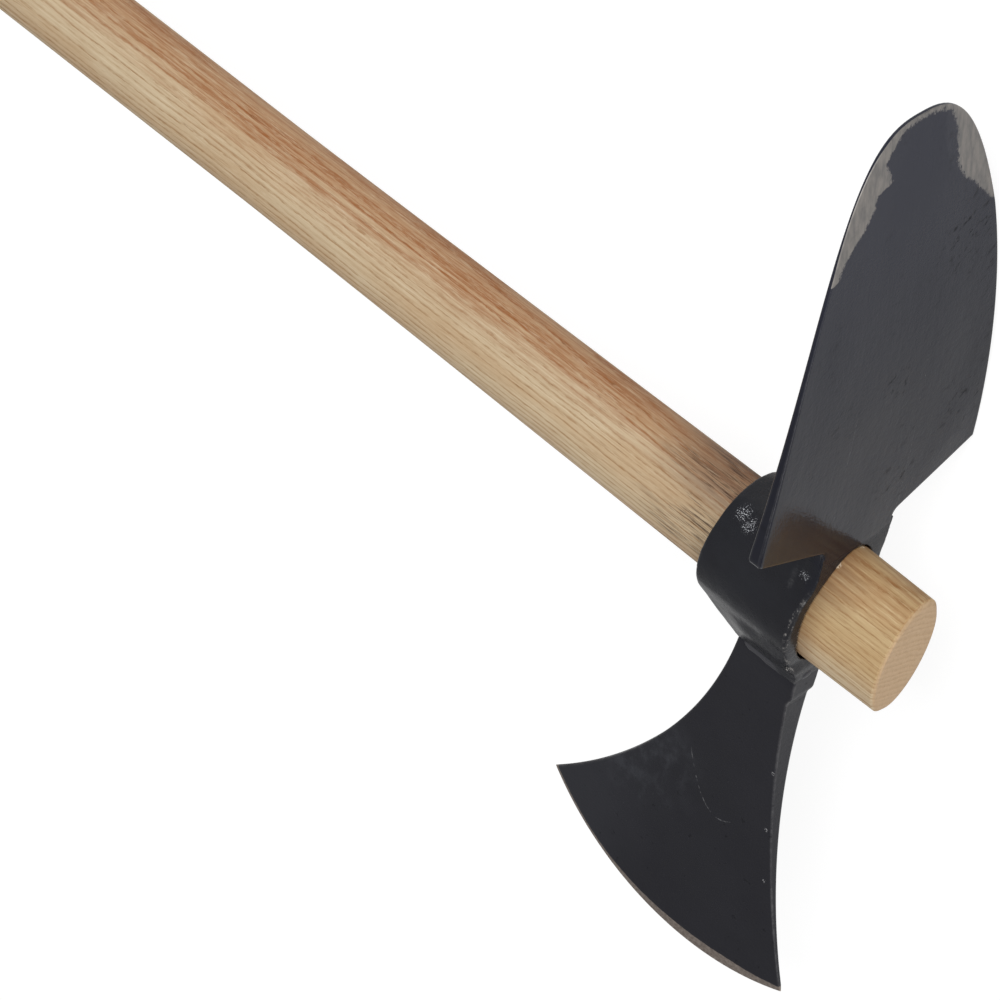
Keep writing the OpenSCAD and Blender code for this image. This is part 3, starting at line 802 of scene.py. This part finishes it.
# The axe: a bearded blade forged from one plate, thick at the root and hollowed to a thin bit.
# It is butt-welded below the eye; its curved edge is ground to a narrow bright bevel.
def axe_blade():
    front_root, rear_root = np.array([-1.5, -36.0]), np.array([-27.7, -36.0])
    front_corner, rear_corner = np.array([31.7, -176.7]), np.array([-88.0, -158.1])
    edge_radius, front_hollow, rear_hollow = 105.8, 337.0, 187.0
    root_thick, bit_thick, hollow, root_land = 13.6, 1.8, 1.7, 1.5
    land = 0.4
    least_bevel, more_bevel = 1.7, 2.9
    nub_out, nub_low = 1.6, -50.0
    wall_round = 0.75
    near_edge = np.array([0, 0.12, 0.3, 0.55, 0.9, 1.4, 2.0]) / 60

    def arc_centre(p, q, r):
        d = q - p
        return (p + q) / 2 + math.sqrt(r * r - d @ d / 4) * np.array([-d[1], d[0]]) / np.linalg.norm(d)

    def arc(p, q, middle, shares):
        first = math.atan2(*(p - middle)[::-1])
        last = math.atan2(*(q - middle)[::-1])
        sweep = (last - first + math.pi) % (2 * math.pi) - math.pi
        turn = first + sweep * shares
        r = np.linalg.norm(p - middle)
        return middle + r * np.stack([np.cos(turn), np.sin(turn)], -1)

    edge_middle = arc_centre(rear_corner, front_corner, edge_radius)
    front_middle = arc_centre(front_root, front_corner, front_hollow)
    rear_middle = arc_centre(rear_corner, rear_root, rear_hollow)
    across = np.concatenate([near_edge, np.linspace(0.05, 0.95, 96), 1 - near_edge[::-1]])
    last_rows = 1 - np.array([4.6, 3.9, 3.4, 3.2, 3.0, 2.2, 1.2, 0.4, 0]) / 135
    down = np.concatenate([np.linspace(0, 0.955, 130), last_rows])
    left = arc(rear_root, rear_corner, rear_middle, down)[:, None]
    right = arc(front_root, front_corner, front_middle, down)[:, None]
    bottom = arc(rear_corner, front_corner, edge_middle, across)[None]
    v = across[None, :, None]
    s = down[:, None, None]
    top = rear_root + (front_root - rear_root) * v
    flat = (1 - v) * left + v * right + (1 - s) * top + s * bottom
    corners = (1 - s) * ((1 - v) * rear_root + v * front_root)
    corners = corners + s * ((1 - v) * rear_corner + v * front_corner)
    flat = flat - corners
    chord = math.atan2(*(front_corner - rear_corner)[::-1])

    def depth(p):
        return p[..., 0] * math.sin(chord) - p[..., 1] * math.cos(chord)

    root_depth = max(depth(front_root), depth(rear_root)) + root_land
    share = np.clip((depth(flat) - root_depth) / (depth(front_corner) - root_depth), 0, 1)
    half = (bit_thick + (root_thick - bit_thick) * (1 - share) ** hollow) / 2
    in_from_edge = edge_radius - np.linalg.norm(flat - edge_middle, axis=-1)
    edge_share = (flat[..., 0] - rear_corner[0]) / (front_corner[0] - rear_corner[0])
    bevel = more_bevel * eased((edge_share - 0.15) / 0.55)
    bevel = least_bevel + bevel * eased((1.08 - edge_share) / 0.34)
    half = np.minimum(half, land / 2 + np.maximum(in_from_edge, 0) * (bit_thick - land) / 2 / bevel)
    wall_gap = np.minimum(np.linalg.norm(flat - front_middle, axis=-1) - front_hollow,
                          np.linalg.norm(flat - rear_middle, axis=-1) - rear_hollow)
    wall_gap = np.maximum(wall_gap, 0)
    x, y = flat[..., 0], flat[..., 1]
    uneven = hammered(np.stack([x, y, 0 * x], -1).reshape(-1, 3), 0.03, 0.30).reshape(x.shape)
    uneven = uneven * np.clip(wall_gap / 10, 0, 1) * np.clip((in_from_edge - 4) / 20, 0, 1)
    r = np.minimum(wall_round, half * 0.8)
    upper = half - rounded(wall_gap, r)
    x = x + nub_out * eased((y - nub_low) / 4.5) * eased((across[None] - 0.55) / 0.45)
    spots, faces = skin_of(np.stack([x, y, upper + uneven], -1), np.stack([x, y, -upper + uneven], -1))
    edge = np.clip(1 - wall_gap / 0.8, 0, 1)

    def bare(place):
        """Ground where the point lies within the bevel behind the cutting edge."""
        px, py = place.parts()[:2]
        dx = px - (916.0 + edge_middle[0])
        dy = py - edge_middle[1]
        inside = edge_radius - (dx * dx + dy * dy) ** 0.5
        share = (px - (916.0 + rear_corner[0])) / (front_corner[0] - rear_corner[0])
        width = least_bevel + more_bevel * share.step(0.15, 0.70) * share.step(1.08, 0.74)
        ragged = place.noise((0.5, 0.5, 0.5), 3.0, 0.6, shift=47.0) - 0.5
        return (width - inside + ragged * 0.7).step(-0.2, 0.2)

    def marks(place, edge):
        """A dusty patch, one long scratch, three chips beside the front wall, specks, and small dents
        painted dark and matt as their shade.
        """
        px, py, pz = place.parts()
        seen = pz.step(0.0, 0.6)
        dust = spot(place, (862.0, -118.0, 2.0), 34.0)
        dust = dust * place.noise((0.16, 0.11, 0.16), 4.0, 0.7, shift=79.0).step(0.40, 0.80)
        away = px - 900.0
        line = py + 123.2 - away * away * 0.0664
        line = line / (1.0 + away * away * 0.0176) ** 0.5
        thin = (line * line).step(0.08, 0.02) * px.step(881.5, 883.5) * px.step(907.0, 905.0)
        thin = thin * place.noise((0.30, 0.30, 0.30), 3.0, 0.8, shift=83.0).step(0.48, 0.62)
        chips = spot(place, (917.7, -84.0, 3.9), 1.0).most(spot(place, (921.6, -111.0, 2.5), 1.0))
        chips = chips.most(spot(place, (927.1, -133.9, 1.7), 0.9))
        chips = chips * place.noise((1.2, 1.2, 1.2), 2.0, 0.6, shift=89.0).step(0.46, 0.58)
        specks = place.noise((0.55, 0.55, 0.55), 3.0, 0.8, shift=97.0).step(0.745, 0.79)
        # Painted shade: the small dents are painted dark and matt.
        dents = place.noise((0.28, 0.28, 0.28), 3.0, 0.7, shift=93.0).step(0.64, 0.74)
        return [(px.step(884.0, 838.0) * 0.10 + dust * 0.26, colour(84, 87, 93), 0.1, False),
                (specks * 0.5, colour(96, 96, 100), 0.2, False),
                (dents * 0.36, colour(18, 18, 22), 0.3, True),
                (thin * seen * 0.5, colour(124, 124, 126), 0.5, False),
                (chips * seen, colour(164, 163, 165), 0.4, False)]

    finish = lacquer_finish("axe_lacquer", (colour(27, 27, 33), colour(31, 31, 37)),
                            streaks=(0.08, 0.08, 0.3), grit=0.4, gloss=0.36, shine=0.22, marks=marks,
                            bare=bare, steels=(colour(122, 111, 104), colour(158, 147, 139)),
                            steel_lines=(0.8, 0.8, 2.0))
    return plate_piece("bearded_axe", spots, faces, {"edge": (edge, edge, 0.0)}, finish, crease=40)


axe = axe_blade()
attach(axe, "head")
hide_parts("axe_blade")


# The butt weld round the root of the axe, below the foot of the eye.
# Its bead was dressed almost flat and lacquered over with the rest of the head.
low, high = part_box("axe_weld")
middle = (low + high) / 2
bead, bead_proud, seam_ridge, nub = 0.0045, 0.0006, 0.0016, 0.0012
sunk = seam_ridge + bead - bead_proud
reach = (high - low) / 2 - Vector((sunk, sunk, sunk))
seam_path = []
for turn in np.linspace(0, 2 * math.pi, 97):
    across = math.copysign(abs(math.cos(turn)) ** 0.35, math.cos(turn))
    beside = math.copysign(abs(math.sin(turn)) ** 0.35, math.sin(turn))
    seam_x = middle.x + reach.x * across + nub * max(across, 0)
    seam_path.append((seam_x, middle.y, middle.z + reach.z * beside))
seam_sizes = {"Pitch": 0.0006, "Drop Radius": bead, "Unevenness": 0.06, "Voxel": 0.0004}
axe_weld = laid_weld("axe_weld_run", seam_path, seam_sizes, seed=11, finish=weld_sheen_finish)
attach(axe_weld, "head")
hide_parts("axe_weld")


# The stage: a pale floor under the tool that rises to a backdrop far behind it on every side.
# Soft lamps light it from above, and the camera stands where the photograph was taken.
floor_z = cad_box[0].z - 0.0005
floor_x, turns = 0.9, 64
profile = [(4.0, 0.0), (16.0, 0.0)]
profile += [(16.0 + 8 * math.sin(t), 6 * (1 - math.cos(t))) for t in np.linspace(0.15, 1.35, 9)]
spots = []
for radius, height in profile:
    for k in range(turns):
        angle = 2 * math.pi * k / turns
        spots.append((floor_x + radius * math.cos(angle), radius * math.sin(angle), floor_z + height))
spots.append((floor_x, 0.0, floor_z))
faces = [(len(spots) - 1, k, (k + 1) % turns) for k in range(turns)]
for ring in range(len(profile) - 1):
    for k in range(turns):
        this = ring * turns + k
        following = ring * turns + (k + 1) % turns
        faces.append((this, this + turns, following + turns, following))
floor_mesh = bpy.data.meshes.new("floor")
floor_mesh.from_pydata(spots, [], faces)
floor_finish = bpy.data.materials.new("pale_floor")
floor_finish.use_nodes = True
floor_tree = floor_finish.node_tree
floor_tree.nodes.remove(floor_tree.nodes["Principled BSDF"])
start = Value(floor_tree)
by_camera = start.node("ShaderNodeLightPath", out="Is Camera Ray")
see_through = start.node("ShaderNodeLightPath", out="Is Transmission Ray")
shown = by_camera.most(see_through)
paper = start.node("ShaderNodeBsdfDiffuse", None, {"Color": (0.8, 0.8, 0.8, 1)})
dim_paper = start.node("ShaderNodeBsdfDiffuse", None, {"Color": (0.22, 0.22, 0.22, 1)})
glow = start.node("ShaderNodeEmission", None, {"Color": (1, 1, 1, 1), "Strength": 0.86})
both = start.node("ShaderNodeAddShader", None, {0: dim_paper, 1: glow})
mixed = start.node("ShaderNodeMixShader", None, {0: shown, 1: paper, 2: both})
floor_tree.links.new(mixed.socket, floor_tree.nodes["Material Output"].inputs["Surface"])
floor = new_piece("floor", floor_mesh, floor_finish)
floor_mesh.shade_smooth()

world = bpy.data.worlds.new("studio")
bpy.context.scene.world = world
world.use_nodes = True
sky = world.node_tree.nodes["Background"]
sky.inputs["Color"].default_value = (1.0, 1.0, 1.0, 1.0)
sky.inputs["Strength"].default_value = 0.42

lit_place, lamp_gap = Vector((0.916, 0.0, 0.0)), 2.4
for label, away, width, power in (("key_light", (0.15, 0.75, 0.80), 1.2, 34.0),
                                  ("side_light", (0.9, -0.25, 0.6), 1.5, 16.0)):
    lamp = bpy.data.lights.new(label, "AREA")
    lamp.shape = "DISK"
    lamp.size = width
    lamp.energy = power
    lamp_object = bpy.data.objects.new(label, lamp)
    direction = Vector(away).normalized()
    lamp_object.location = lit_place + direction * lamp_gap
    lamp_object.rotation_euler = direction.to_track_quat("Z", "Y").to_euler()
    bpy.context.scene.collection.objects.link(lamp_object)

lens = bpy.data.cameras.new("photo_camera")
lens.sensor_width = 36.0
lens.lens = 206.28
lens.clip_start = 0.05
lens.clip_end = 100.0
camera = bpy.data.objects.new("photo_camera", lens)
bpy.context.scene.collection.objects.link(camera)
right = Vector((0.71826, 0.20266, -0.6656))
up = Vector((-0.57, 0.72, -0.39587))
toward = Vector((0.399, 0.66373, 0.63266))
stand = Vector((1.6105, 1.3292, 1.3288))
camera.matrix_world = Matrix((
    (right.x, up.x, toward.x, stand.x),
    (right.y, up.y, toward.y, stand.y),
    (right.z, up.z, toward.z, stand.z),
    (0, 0, 0, 1),
))
bpy.context.scene.camera = camera
bpy.context.scene.view_settings.view_transform = "Standard"

bpy.context.view_layer.update()
